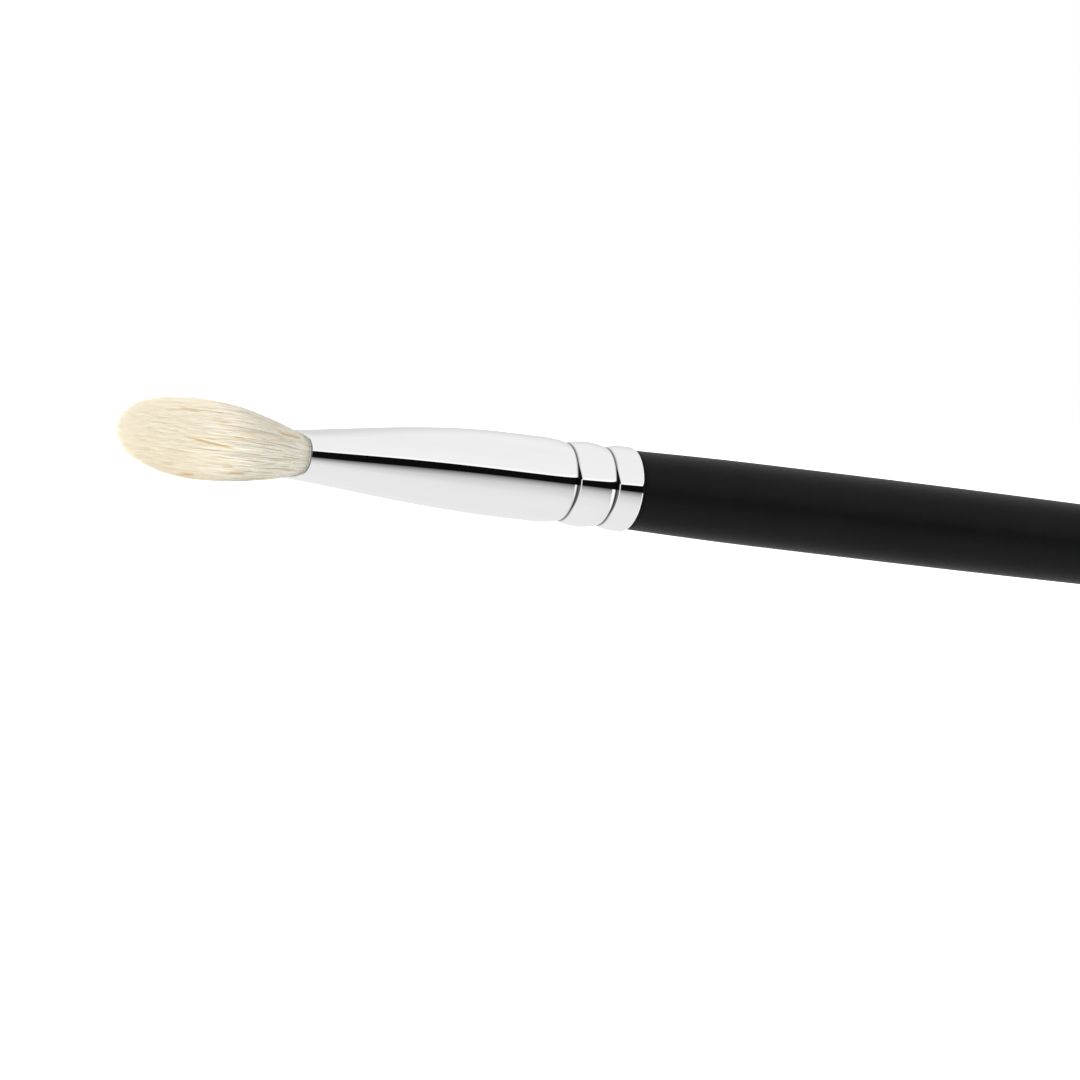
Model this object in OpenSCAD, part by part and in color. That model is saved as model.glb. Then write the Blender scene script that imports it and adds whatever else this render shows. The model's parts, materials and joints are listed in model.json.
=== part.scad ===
// Eyeshadow blending brush with a pinched metal ferrule, lying on its side.
// The handle's axis runs along X with the hair at -X. Z is up, and the oval head is widest along Y.
// Places along the brush are measured from the ferrule's mouth: behind it towards the handle, or out
// of it towards the tip of the hair.

/* [Hair] */
// Length of hair that stands out of the ferrule
hair_len = 16.9; // [15:0.1:20]
// Thickness of the hair where it is fullest, across its narrow side
hair_thick = 7.5; // [6.8:0.1:7.9]
// Width of the hair where it is fullest, across its wide side
hair_width = 12.4; // [11.4:0.1:14]
// Distance from the mouth to the fullest place
belly_out = 9.4; // [8:0.1:11]
// How far the middle of the hair lies below the handle's axis at the fullest place
belly_drop = 0.1; // [0:0.02:0.3]
// How far the tip of the hair lies above the handle's axis
tip_rise = 0.15; // [0:0.05:0.3]
// Length of hair that is held inside the ferrule
root_len = 12; // [11:0.5:13.5]
// How far inside the mouth the packed root ends and the loose strands begin
root_inset = 0.8; // [0.4:0.1:1.5]
// Number of strands
strand_count = 360; // [300:10:380]

/* [Root binding] */
// Diameter of the thread that ties the root
thread_dia = 0.4; // [0.25:0.05:0.5]
// Number of turns of the thread
thread_turns = 5; // [3:1:6]
// Distance from the mouth to the first turn
binding_at = 8.2; // [7:0.1:8.4]

/* [Glue] */
// Share of the space between the root and the tenon that the glue plug fills
plug_fill_share = 0.475; // [0.3:0.005:0.55]
// Depth of the dish that the glue leaves in its rear face
plug_dish = 0.7; // [0.3:0.1:1.2]
// Thickness of the glue film round the tenon
glue_film = 0.12; // [0.06:0.01:0.2]

/* [Ferrule] */
// Outside diameter of the round tube
tube_dia = 8; // [7.8:0.1:8.6]
// Length of the ferrule
ferrule_len = 35.2; // [34:0.1:40]
// Thickness of the metal
wall = 0.35; // [0.25:0.05:0.4]
// Length of the pinched, oval stretch behind the mouth
pinch_len = 22; // [20:0.5:22.5]
// Outside thickness of the oval mouth
mouth_thick = 4.6; // [4.4:0.1:5.4]
// How far the middle of the mouth lies below the handle's axis
mouth_drop = 0.5; // [0:0.05:0.6]
// How far the widest place of the mouth lies above its middle
mouth_lean = 0.2; // [0:0.05:0.3]
// Rounding of the mouth's outer edge
lip_round = 0.22; // [0.1:0.01:0.24]
// Distance from the rear end to the last crimp
crimp_inset = 2.85; // [2.8:0.05:3.6]
// Distance between the two crimps
crimp_pitch = 4; // [3.4:0.05:4.2]
// Depth of each crimp
crimp_depth = 0.34; // [0.1:0.02:0.4]
// Length over which the tube curves down into the first crimp
crimp_lead = 2.6; // [1.2:0.1:2.8]
// Length of the rounding at the rear end
end_round = 0.35; // [0.15:0.05:0.5]

/* [Handle] */
// Length of handle that stands out of the ferrule
handle_len = 121; // [100:1:150]
// Diameter of the handle where it leaves the ferrule
shoulder_dia = 7.45; // [7.4:0.05:7.6]
// Distance behind the ferrule at which it has widened to that diameter
shoulder_len = 0.3; // [0.2:0.05:0.5]
// Largest diameter of the handle
belly_dia = 7.8; // [7.6:0.1:8.4]
// Distance from the ferrule to the handle's largest diameter
belly_at = 14; // [8:1:30]
// Diameter at the tail, before its rounded end
tail_dia = 4.6; // [3:0.1:6]
// Length of the rounded tail end
tail_round = 2.2; // [1:0.1:3]
// Length of the tenon inside the ferrule
tenon_len = 12.6; // [11:0.1:12.6]
// Length of the lead-in at the tenon's front
tenon_lead = 0.8; // [0.3:0.1:1.5]
// Thickness of the lacquer
lacquer = 0.15; // [0.1:0.01:0.25]
// How far the lacquer runs into the ferrule
lacquer_inset = 1.2; // [0.6:0.1:2]

/* [Fits] */
// Clearance between pieces that sit one inside the other
fit_gap = 0.04; // [0.02:0.01:0.05]

/* [Hidden] */
$fn = 96;

// Sides of the oval lofts, and steps along each curved outline
oval_sides = 40;
lip_steps = 3;
pinch_steps = 9;
crimp_steps = 6;
end_steps = 5;
taper_steps = 22;

// Shape of the pinch, the flare of the hair, the dome at its tip and the handle's taper
pinch_share = 0.73;
flare_share = 0.78;
dome_length_share = 2.08;
dome_width_share = 2.5;
taper_share = 1.5;
tuck_share = 0.04;
// How much of a half-circle each side of a crimp follows
crimp_arc_share = 0.85;
// How much squarer than an ellipse the pinch leaves the mouth
square_share = 0.7;

// Places of a strand's rings along its free length, and how much of its room it fills at each
strand_sides = 3;
strand_place_shares = [0, 0.3, 0.66];
strand_fill_shares = [0.66, 0.68, 0.62];
// Room of one strand, as a share of the even spacing in the round pattern
strand_room_share = 0.9;
golden_turn = 137.508;

// How far the pinched tube is drawn inside the round one, and along it, so that both fuse
seam_step = 0.015;
seam_len = 0.5;
// How far the strands start inside the packed root
root_bite = 0.5;

tube_r = tube_dia / 2;
bore_r = tube_r - wall;
mouth_h = mouth_thick / 2;
crimp_2 = ferrule_len - crimp_inset;
crimp_1 = crimp_2 - crimp_pitch;
neck_r = bore_r - fit_gap;
shoulder_r = shoulder_dia / 2;
tenon_r = bore_r - 2 * fit_gap - glue_film;
tenon_front = ferrule_len - tenon_len;
lacquer_front = ferrule_len - lacquer_inset;
tenon_end = lacquer_front - fit_gap;
binding_len = thread_dia * thread_turns;
plug_front = root_len + fit_gap;
plug_rear = plug_front + plug_fill_share * (tenon_front - plug_front);
total_len = hair_len + ferrule_len + handle_len;
mouth_x = hair_len - total_len / 2;
axis_z = max(tube_r, belly_dia / 2, hair_thick / 2 + belly_drop);

function clamp(t) = min(1, max(0, t));
function ease(t) = clamp(t) * clamp(t) * (3 - 2 * clamp(t));

// The tube keeps its girth while it is pinched, so it widens along Y as it narrows along Z
function pinch(s) = ease(pow(clamp(s / pinch_len), pinch_share));
function tube_h(s) = mouth_h + (tube_r - mouth_h) * pinch(s);
function tube_w(s) = sqrt(2 * tube_r * tube_r - tube_h(s) * tube_h(s));
function tube_drop(s) = mouth_drop * (1 - pinch(s));

// The free hair flares from the mouth to its fullest place, then is cut off by a dome
function flare(out) = pow(sin(90 * clamp(out / belly_out)), flare_share);
function past_belly(out) = clamp((out - belly_out) / (hair_len - belly_out));
function tuck(out) = 1 - tuck_share * pow(past_belly(out), 2);
function root_h(s) = tube_h(s) - wall - fit_gap;
function root_w(s) = tube_w(s) - wall - fit_gap;
function hair_h(out) = (root_h(0) + (hair_thick / 2 - root_h(0)) * flare(out)) * tuck(out);
function hair_w(out) = (root_w(0) + (hair_width / 2 - root_w(0)) * flare(out)) * tuck(out);
function rise(out) = out < belly_out ? mouth_drop + (belly_drop - mouth_drop) * flare(out)
                                     : belly_drop - (belly_drop + tip_rise) * ease(past_belly(out));
function dome_end(rho) = belly_out
    + (hair_len - belly_out) * pow(1 - pow(rho, dome_width_share), 1 / dome_length_share);

// Half-height and half-width of the hair, the drop of its middle and the lift of its widest place, on
// either side of the mouth
function half_h(s) = s < 0 ? hair_h(-s) : root_h(s);
function half_w(s) = s < 0 ? hair_w(-s) : root_w(s);
function drop(s) = s < 0 ? rise(-s) : tube_drop(s);
function pinched(s) = 1 - (s < 0 ? flare(-s) : pinch(s));
function lean(s) = mouth_lean * pinched(s);

// The oval's outline at a turn from the wide side, as a share of an ellipse's
function squareness(s) = 2 + square_share * pinched(s);
function spread(s, turn) =
    pow(pow(abs(cos(turn)), squareness(s)) + pow(abs(sin(turn)), squareness(s)), -1 / squareness(s));

// Radius of the tube along its round stretch, with its crimps and rounded end
function arc_drop(share) = 1 - sqrt(1 - share * share);
function arc_fall(t) = arc_drop(crimp_arc_share * clamp(t)) / arc_drop(crimp_arc_share);
function crimped_r(s) =
    s < crimp_1 ? tube_r - crimp_depth * arc_fall((s - crimp_1 + crimp_lead) / crimp_lead) :
    s < crimp_2 ? tube_r - crimp_depth * arc_fall(abs(2 * (s - crimp_1) / crimp_pitch - 1)) :
    tube_r - crimp_depth * arc_fall(1 - (s - crimp_2) / (crimp_pitch / 2));

// Places at even turns of an arc, close together where it is steep
function arc_places(from, to, steps) = [for (i = [0:steps]) from + (to - from) * sin(90 * i / steps)];
crimp_places = concat(
    arc_places(crimp_1 - crimp_lead, crimp_1, crimp_steps),
    [for (i = [1:2 * crimp_steps]) crimp_1 + crimp_pitch * (1 - cos(90 * i / crimp_steps)) / 2],
    [for (i = [1:crimp_steps]) crimp_2 + crimp_pitch * (1 - cos(90 * i / crimp_steps)) / 2]);

function crimp_outline(inset, from, to) = [for (s = concat([from], crimp_places, [to]))
    if (s >= from && s <= to) [crimped_r(s) - inset, s]];

// Radius of the finished handle inside the ferrule's end, and by distance behind the ferrule
neck_front_r = crimped_r(lacquer_front) - wall - fit_gap;
function along_taper(t) = pow(clamp((t - belly_at) / (handle_len - belly_at)), taper_share);
function handle_r(t) = t < belly_at
    ? shoulder_r + (belly_dia / 2 - shoulder_r) * sin(90 * t / belly_at)
    : belly_dia / 2 + (tail_dia - belly_dia) / 2 * ease(along_taper(t));
tail_start = handle_len - tail_round;
handle_places = concat(
    [for (i = [0:end_steps]) shoulder_len + (belly_at - shoulder_len) * i / end_steps],
    [for (i = [1:taper_steps]) belly_at + (tail_start - belly_at) * i / taper_steps]);
function handle_outline(inset) = concat(
    [[neck_front_r - inset, lacquer_front], [neck_r - inset, ferrule_len + fit_gap]],
    [for (t = handle_places) [handle_r(t) - inset, ferrule_len + t]],
    [for (i = [1:end_steps - 1]) [(handle_r(tail_start) - inset) * cos(90 * i / end_steps),
        ferrule_len + tail_start + (tail_round - inset) * sin(90 * i / end_steps)]],
    [[0, ferrule_len + handle_len - inset]]);

// A ring is [place behind the mouth, half-height, half-width, drop below the axis]
function ring_points(ring) = [for (i = [0:oval_sides - 1]) let (
        turn = 360 * i / oval_sides,
        wide = spread(ring[0], turn))
    [mouth_x + ring[0],
        ring[2] * wide * cos(turn),
        axis_z - ring[3] + ring[1] * wide * sin(turn) + lean(ring[0]) * pow(wide * cos(turn), 2)]];
function band_faces(sides, a, b) = [for (i = [0:sides - 1]) let (j = (i + 1) % sides)
    each [[a * sides + i, b * sides + i, b * sides + j], [a * sides + i, b * sides + j, a * sides + j]]];

// Solid through a row of rings, closed at both ends
module loft(rings) {
    last = len(rings) - 1;
    end = last * oval_sides;
    polyhedron(
        points = [for (ring = rings) each ring_points(ring)],
        faces = concat(
            [for (k = [0:last - 1]) each band_faces(oval_sides, k, k + 1)],
            [for (i = [1:oval_sides - 2]) [0, i, i + 1]],
            [for (i = [1:oval_sides - 2]) [end, end + i + 1, end + i]]));
}

// Tube through a closed loop of rings, along its outside and back along its inside
module loft_tube(rings) {
    count = len(rings);
    polyhedron(
        points = [for (ring = rings) each ring_points(ring)],
        faces = [for (k = [0:count - 1]) each band_faces(oval_sides, k, (k + 1) % count)]);
}

// Turned solid on the handle's axis, from an outline of [radius, place behind the mouth]
module turned(outline) {
    translate([mouth_x, 0, axis_z])
        rotate([0, 90, 0])
            rotate_extrude()
                polygon(outline);
}

// Ring of the packed root, a given depth inside its outer face
function root_ring(s, inset) = [s, half_h(s) - inset, half_w(s) - inset, drop(s)];

// Even spiral in a unit disc, which the flare of the hair carries along without a crossing
strand_room = strand_room_share * sqrt(PI / strand_count);
function seed_rho(k) = sqrt((k + 0.5) / strand_count) * (1 - strand_room / 2);
function seed_turn(k) = golden_turn * k;

// One ring of a strand, by its distance out of the mouth
function strand_ring(k, out, fill) = [for (j = [0:strand_sides - 1]) let (
        turn = seed_turn(k) + 360 * j / strand_sides,
        wide = spread(-out, seed_turn(k)),
        y = seed_rho(k) * cos(seed_turn(k)) + fill * strand_room / 2 * cos(turn),
        z = seed_rho(k) * sin(seed_turn(k)) + fill * strand_room / 2 * sin(turn))
    [mouth_x - out,
        half_w(-out) * wide * y,
        axis_z - drop(-out) + half_h(-out) * wide * z + lean(-out) * pow(wide * y, 2)]];
function strand_points(k) = let (free = dome_end(seed_rho(k)))
    concat(
        strand_ring(k, -root_inset - root_bite, strand_fill_shares[0]),
        [for (i = [0:free_rings - 1])
            each strand_ring(k, free * strand_place_shares[i], strand_fill_shares[i])],
        [strand_ring(k, free, 0)[0]]);
free_rings = len(strand_place_shares);
strand_size = strand_sides * (free_rings + 1) + 1;
function strand_faces(k) = let (first = k * strand_size, tip = first + strand_size - 1)
    concat(
        [for (j = [1:strand_sides - 2]) [first, first + j + 1, first + j]],
        [for (i = [0:free_rings - 1]) for (j = [0:strand_sides - 1]) let (
                a = first + strand_sides * i + j,
                b = first + strand_sides * i + (j + 1) % strand_sides)
            each [[a, b + strand_sides, a + strand_sides], [a, b, b + strand_sides]]],
        [for (j = [0:strand_sides - 1])
            [tip - strand_sides + j, tip - strand_sides + (j + 1) % strand_sides, tip]]);

module strands() {
    polyhedron(
        points = [for (k = [0:strand_count - 1]) each strand_points(k)],
        faces = [for (k = [0:strand_count - 1]) each strand_faces(k)]);
}

// Hair: strands that spread out of the mouth, fused to their packed root
module bristle_tuft() {
    waist = thread_dia + fit_gap;
    waist_end = binding_at + binding_len + 2 * fit_gap;
    color([0.93, 0.88, 0.78])
        union() {
            loft([
                root_ring(root_inset, 0),
                root_ring(binding_at / 2, 0),
                root_ring(binding_at, 0),
                root_ring(binding_at, waist),
                root_ring(waist_end, waist),
                root_ring(waist_end, 0),
                root_ring(root_len, 0)]);
            strands();
        }
}

// Thread tied round the waist of the root, drawn as one band with a ridge for each turn
module root_binding() {
    first = binding_at + fit_gap;
    valley = thread_dia / 4;
    color([0.85, 0.82, 0.74])
        loft_tube(concat(
            [for (i = [0:2 * thread_turns])
                root_ring(first + thread_dia * i / 2, i % 2 == 0 ? valley : 0)],
            [root_ring(first + binding_len, thread_dia)],
            [root_ring(first, thread_dia)]));
}

// Glue poured in behind the root, with a dished rear face
module glue_plug() {
    color([0.78, 0.66, 0.42])
        loft([
            root_ring(plug_front, 0),
            root_ring((plug_front + plug_rear) / 2, 0),
            root_ring(plug_rear, 0),
            root_ring(plug_rear - plug_dish / 2, half_h(plug_rear) / 3),
            root_ring(plug_rear - plug_dish, half_h(plug_rear) * 2 / 3)]);
}

// Ferrule: a round tube, pinched to an oval mouth in front and crimped on to the handle behind
module ferrule() {
    seam_end = pinch_len + seam_len;
    function shell_ring(s, inset) = [s, tube_h(s) - inset, tube_w(s) - inset, tube_drop(s)];
    lip_rings = [for (i = [0:lip_steps]) let (turn = 90 * i / lip_steps)
        shell_ring(lip_round * (1 - cos(turn)), seam_step + lip_round * (1 - sin(turn)))];
    pinch_places = [for (i = [1:pinch_steps]) pinch_len * i / pinch_steps];
    color([0.8, 0.81, 0.83])
        union() {
            loft_tube(concat(
                lip_rings,
                [for (s = pinch_places) shell_ring(s, seam_step)],
                [shell_ring(seam_end, seam_step)],
                [shell_ring(seam_end, wall - 2 * seam_step)],
                [for (i = [pinch_steps - 1:-1:0]) shell_ring(pinch_places[i], wall - 2 * seam_step)],
                [shell_ring(0, wall)]));
            turned(concat(
                crimp_outline(0, pinch_len, ferrule_len - end_round),
                [for (i = [1:end_steps]) [
                    crimped_r(ferrule_len - end_round) - (wall - seam_step) * (1 - cos(90 * i / end_steps)),
                    ferrule_len - end_round + end_round * sin(90 * i / end_steps)]],
                [[bore_r, ferrule_len]],
                [for (i = [len(crimp_places) - 1:-1:0]) [crimped_r(crimp_places[i]) - wall, crimp_places[i]]],
                [[bore_r, pinch_len]]));
        }
}

// Film of glue between the tenon and the ferrule
module tenon_glue() {
    outside = crimp_outline(wall + fit_gap, tenon_front, tenon_end);
    inside = crimp_outline(wall + fit_gap + glue_film, tenon_front, tenon_end);
    color([0.86, 0.76, 0.55])
        turned(concat(outside, [for (i = [len(inside) - 1:-1:0]) inside[i]]));
}

// Wooden handle with the tenon that the crimps bite into
module handle_core() {
    color([0.72, 0.56, 0.38])
        turned(concat(
            [[0, tenon_front]],
            [[tenon_r - tenon_lead / 2, tenon_front]],
            crimp_outline(tube_r - tenon_r, tenon_front + tenon_lead, tenon_end),
            handle_outline(lacquer + fit_gap)));
}

// Black lacquer all over the handle outside the ferrule
module handle_lacquer() {
    outside = handle_outline(0);
    inside = handle_outline(lacquer);
    color([0.09, 0.09, 0.095])
        turned(concat(outside, [for (i = [len(inside) - 1:-1:0]) inside[i]]));
}

bristle_tuft();
root_binding();
glue_plug();
ferrule();
tenon_glue();
handle_core();
handle_lacquer();
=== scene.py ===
# Eyeshadow blending brush, lying on a pale studio floor.
# The settings are in millimetres and the meshes in metres. Places along the brush count from the
# ferrule's mouth: behind it towards the handle, or out of it towards the tip of the hair.
import json
import math
import bpy
from mathutils import Matrix, Vector


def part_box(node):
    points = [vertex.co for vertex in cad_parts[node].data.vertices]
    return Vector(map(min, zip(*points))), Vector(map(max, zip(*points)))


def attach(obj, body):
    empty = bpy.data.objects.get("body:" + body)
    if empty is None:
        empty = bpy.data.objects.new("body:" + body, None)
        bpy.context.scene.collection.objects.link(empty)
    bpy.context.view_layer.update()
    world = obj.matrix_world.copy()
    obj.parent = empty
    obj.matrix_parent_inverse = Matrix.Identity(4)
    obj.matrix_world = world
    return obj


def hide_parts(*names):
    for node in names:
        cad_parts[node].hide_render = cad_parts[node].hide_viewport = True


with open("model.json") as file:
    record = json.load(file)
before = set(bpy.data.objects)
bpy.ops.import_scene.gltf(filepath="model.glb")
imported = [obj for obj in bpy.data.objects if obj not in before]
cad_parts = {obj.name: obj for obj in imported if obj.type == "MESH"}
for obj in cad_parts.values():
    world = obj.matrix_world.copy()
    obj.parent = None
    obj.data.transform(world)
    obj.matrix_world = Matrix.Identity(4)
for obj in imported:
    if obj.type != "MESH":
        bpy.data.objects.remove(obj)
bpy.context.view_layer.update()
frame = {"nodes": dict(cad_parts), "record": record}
print("frame loaded:", ", ".join(sorted(frame["nodes"])))

mm = 0.001
seat = frame["record"]["mounts"][0]             # the round stretch of the ferrule
tubeRadius = seat["dims"]["r_mm"]
axisHeight = seat["pos_m"][2] / mm
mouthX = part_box("ferrule")[0].x / mm
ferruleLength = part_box("ferrule")[1].x / mm - mouthX
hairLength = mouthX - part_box("bristle_tuft")[0].x / mm
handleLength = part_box("handle_lacquer")[1].x / mm - mouthX - ferruleLength


def clamp(t):
    return max(0.0, min(1.0, t))


def ease(t):
    t = clamp(t)
    return t * t * (3 - 2 * t)


# Shorthand for nodes, used by the geometry trees and the materials alike

def addNode(tree, kind, inputs=None, **settings):
    node = tree.nodes.new(kind)
    for key, value in settings.items():
        setattr(node, key, value)
    for key, value in (inputs or {}).items():
        plug(tree, value, node.inputs[key])
    return node


def plug(tree, value, socket):
    if isinstance(value, bpy.types.NodeSocket):
        tree.links.new(value, socket)
    else:
        socket.default_value = value


def calc(tree, operation, *values, limit=False):
    node = tree.nodes.new("ShaderNodeMath")
    node.operation = operation
    node.use_clamp = limit
    for value, socket in zip(values, node.inputs):
        plug(tree, value, socket)
    return node.outputs[0]


def easeNodes(tree, t):
    # The same curve as ease()
    return addNode(tree, "ShaderNodeMapRange", {"Value": t}, interpolation_type="SMOOTHSTEP").outputs[0]


def noiseNode(tree, vector, scale, detail=2.0, roughness=0.5):
    inputs = {"Vector": vector, "Scale": scale, "Detail": detail, "Roughness": roughness}
    return addNode(tree, "ShaderNodeTexNoise", inputs)


def rangeNode(tree, value, fromLow, fromHigh, toLow, toHigh, curve="LINEAR"):
    inputs = {"Value": value, "From Min": fromLow, "From Max": fromHigh, "To Min": toLow, "To Max": toHigh}
    return addNode(tree, "ShaderNodeMapRange", inputs, interpolation_type=curve).outputs[0]


def rampNode(tree, value, stops):
    node = addNode(tree, "ShaderNodeValToRGB", {"Fac": value})
    elements = node.color_ramp.elements
    elements.remove(elements[1])
    elements[0].position = stops[0][0]
    for place, colour in stops[1:]:
        elements.new(place)
    for element, (place, colour) in zip(elements, stops):
        element.color = (*colour, 1.0)
    return node.outputs["Color"]


def mixColours(tree, factor, first, second, blend="MIX"):
    node = addNode(tree, "ShaderNodeMix", data_type="RGBA", blend_type=blend)
    for key, value in (("Factor_Float", factor), ("A_Color", first), ("B_Color", second)):
        socket = next(s for s in node.inputs if s.identifier == key)
        if not isinstance(value, (bpy.types.NodeSocket, float, int)):
            value = (*value, 1.0)
        plug(tree, value, socket)
    return next(s for s in node.outputs if s.identifier == "Result_Color")


def openMaterial(name):
    material = bpy.data.materials.new(name)
    material.use_nodes = True
    tree = material.node_tree
    return material, tree, tree.nodes["Principled BSDF"]


def setShader(shader, **values):
    for key, value in values.items():
        socket = shader.inputs[key.replace("_", " ")]
        socket.default_value = (*value, 1.0) if isinstance(value, tuple) else value


def fineGrainGroup():
    # Even, fine unevenness of a finish: a shade and a normal
    tree = bpy.data.node_groups.new("fine_grain", "ShaderNodeTree")
    for name, kind in (("Scale", "Float"), ("Depth", "Float"), ("Stretch", "Vector")):
        tree.interface.new_socket(name, in_out="INPUT", socket_type="NodeSocket" + kind)
    for name, kind in (("Shade", "Float"), ("Normal", "Vector")):
        tree.interface.new_socket(name, in_out="OUTPUT", socket_type="NodeSocket" + kind)
    ins = tree.nodes.new("NodeGroupInput").outputs
    outs = tree.nodes.new("NodeGroupOutput").inputs
    place = tree.nodes.new("ShaderNodeTexCoord").outputs["Object"]
    stretched = addNode(tree, "ShaderNodeVectorMath", {0: place, 1: ins["Stretch"]}, operation="MULTIPLY")
    coarse = noiseNode(tree, stretched.outputs[0], ins["Scale"], detail=4.0, roughness=0.6)
    tree.links.new(coarse.outputs["Fac"], outs["Shade"])
    bump = addNode(tree, "ShaderNodeBump", {"Height": coarse.outputs["Fac"], "Distance": ins["Depth"]})
    tree.links.new(bump.outputs["Normal"], outs["Normal"])
    return tree


fineGrain = fineGrainGroup()
grainSpan = (0.3, 0.7)                          # where a grain's shade goes from dark to pale


def grainNode(tree, scale, depth, stretch=(1.0, 1.0, 1.0)):
    inputs = {"Scale": scale, "Depth": depth, "Stretch": stretch}
    return addNode(tree, "ShaderNodeGroup", inputs, node_tree=fineGrain).outputs


# Amber streaks on the hair: how far out of the mouth each ends and starts, its heights there and strength
amberStreaks = [
    (13.0, 7.9, 0.02, -0.62, 1.0), (3.6, 0.7, 1.46, 1.08, 1.0), (13.2, 11.2, 2.52, 2.58, 0.6),
    (11.5, 10.4, -3.44, -3.44, 0.9), (7.8, 6.0, -2.91, -2.71, 1.0), (8.8, 7.6, -2.35, -2.28, 0.7),
    (8.5, 7.3, 0.55, 0.53, 0.7), (10.4, 8.3, 1.94, 1.87, 0.5),
]
streakWidth = (0.03, 0.14)                      # half-width of a streak's core and of its soft edge
streakEndSharpness = 6.0


def streakGroup():
    # A fine streak that runs with the hair, as a mask
    tree = bpy.data.node_groups.new("amber_streak", "ShaderNodeTree")
    for name in ("Far", "Near", "Far Height", "Near Height", "Strength"):
        tree.interface.new_socket(name, in_out="INPUT", socket_type="NodeSocketFloat")
    tree.interface.new_socket("Mask", in_out="OUTPUT", socket_type="NodeSocketFloat")
    ins = tree.nodes.new("NodeGroupInput").outputs
    place = tree.nodes.new("ShaderNodeTexCoord").outputs["Object"]
    axes = addNode(tree, "ShaderNodeSeparateXYZ", {"Vector": place}).outputs
    out = calc(tree, "SUBTRACT", mouthX, calc(tree, "DIVIDE", axes["X"], mm))
    height = calc(tree, "SUBTRACT", calc(tree, "DIVIDE", axes["Z"], mm), axisHeight)
    share = rangeNode(tree, out, ins["Near"], ins["Far"], 0.0, 1.0)
    middle = rangeNode(tree, share, 0.0, 1.0, ins["Near Height"], ins["Far Height"])
    off = calc(tree, "ABSOLUTE", calc(tree, "SUBTRACT", height, middle))
    core, edge = streakWidth
    line = rangeNode(tree, off, core, edge, 1.0, 0.0, "SMOOTHSTEP")
    rest = calc(tree, "SUBTRACT", 1.0, share)
    ends = calc(tree, "MULTIPLY", calc(tree, "MULTIPLY", share, streakEndSharpness), rest, limit=True)
    mask = calc(tree, "MULTIPLY", calc(tree, "MULTIPLY", line, ends), ins["Strength"])
    tree.links.new(mask, tree.nodes.new("NodeGroupOutput").inputs["Mask"])
    return tree


# Materials

hairLook = {
    "amberStreak": (0.86, 0.68, 0.44), "amberPatch": (0.95, 0.78, 0.54), "patchScale": 1500.0,
    "streakShade": (0.95, 0.94, 0.92), "streakScale": 3600.0, "streakStretch": (0.12, 1.0, 1.0),
    "cuticleScale": 9000.0,
    "rootPaintedGlow": 0.05, "tipPaintedGlow": 0.115,         # painted light: a glow in the hair's own colour, stronger towards the tips
}


def hairMaterial():
    material, tree, shader = openMaterial("cream_goat_hair")
    chance = addNode(tree, "ShaderNodeAttribute", attribute_name="hairTint").outputs["Fac"]
    along = addNode(tree, "ShaderNodeAttribute", attribute_name="alongHair").outputs["Fac"]
    tint = rampNode(tree, chance, [
        (0.0, (0.80, 0.60, 0.36)), (0.006, (0.93, 0.83, 0.63)), (0.02, (0.97, 0.89, 0.72)),
        (0.10, (0.98, 0.92, 0.77)), (0.80, (0.99, 0.935, 0.81)), (0.95, (0.97, 0.925, 0.81)),
        (0.99, (0.92, 0.87, 0.76))])
    # Darker from the tip towards the root: partly the hair's own greyer tone there and partly painted shade
    # where the packed hairs shadow each other
    rootPaintedShade = rampNode(tree, along, [
        (0.083, (1.0, 0.97, 0.88)), (0.1, (0.67, 0.68, 0.68)), (0.35, (0.67, 0.68, 0.68)),
        (0.6, (0.69, 0.69, 0.69)), (0.85, (0.89, 0.89, 0.89)), (1.0, (1.0, 1.0, 1.0))])
    colour = mixColours(tree, 1.0, tint, rootPaintedShade, "MULTIPLY")

    def stained(share, colour, stain):
        return mixColours(tree, share, colour, mixColours(tree, 1.0, colour, stain, "MULTIPLY"))

    place = tree.nodes.new("ShaderNodeTexCoord").outputs["Object"]
    stretched = {0: place, 1: hairLook["streakStretch"]}
    lengthwise = addNode(tree, "ShaderNodeVectorMath", stretched, operation="MULTIPLY").outputs[0]
    streaks = noiseNode(tree, lengthwise, hairLook["streakScale"])
    shade = rangeNode(tree, streaks.outputs["Fac"], 0.30, 0.62, 0.0, 1.0, "SMOOTHSTEP")
    streaked = mixColours(tree, shade, hairLook["streakShade"], (1.0, 1.0, 1.0))
    colour = mixColours(tree, 1.0, colour, streaked, "MULTIPLY")
    patches = noiseNode(tree, lengthwise, hairLook["patchScale"], detail=3.0, roughness=0.7)
    patch = rangeNode(tree, patches.outputs["Fac"], 0.63, 0.72, 0.0, 0.8, "SMOOTHSTEP")
    colour = stained(patch, colour, hairLook["amberPatch"])
    streakTree = streakGroup()
    amber = 0.0
    for far, near, farHeight, nearHeight, strength in amberStreaks:
        mask = addNode(tree, "ShaderNodeGroup", {
            "Far": far, "Near": near, "Far Height": farHeight, "Near Height": nearHeight,
            "Strength": strength}, node_tree=streakTree).outputs["Mask"]
        amber = calc(tree, "MAXIMUM", amber, mask)
    colour = stained(amber, colour, hairLook["amberStreak"])
    plug(tree, colour, shader.inputs["Base Color"])
    # Painted light: the hair glows in its own colour, more towards the tips
    plug(tree, colour, shader.inputs["Emission Color"])
    paintedGlow = rangeNode(tree, along, 0.2, 1.0, hairLook["rootPaintedGlow"], hairLook["tipPaintedGlow"])
    plug(tree, paintedGlow, shader.inputs["Emission Strength"])
    cuticle = noiseNode(tree, place, hairLook["cuticleScale"])
    plug(tree, rangeNode(tree, cuticle.outputs["Fac"], 0.3, 0.7, 0.55, 0.75), shader.inputs["Roughness"])
    setShader(shader, Specular_IOR_Level=0.2, Sheen_Weight=0.3, Sheen_Roughness=0.5)
    return material


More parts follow.
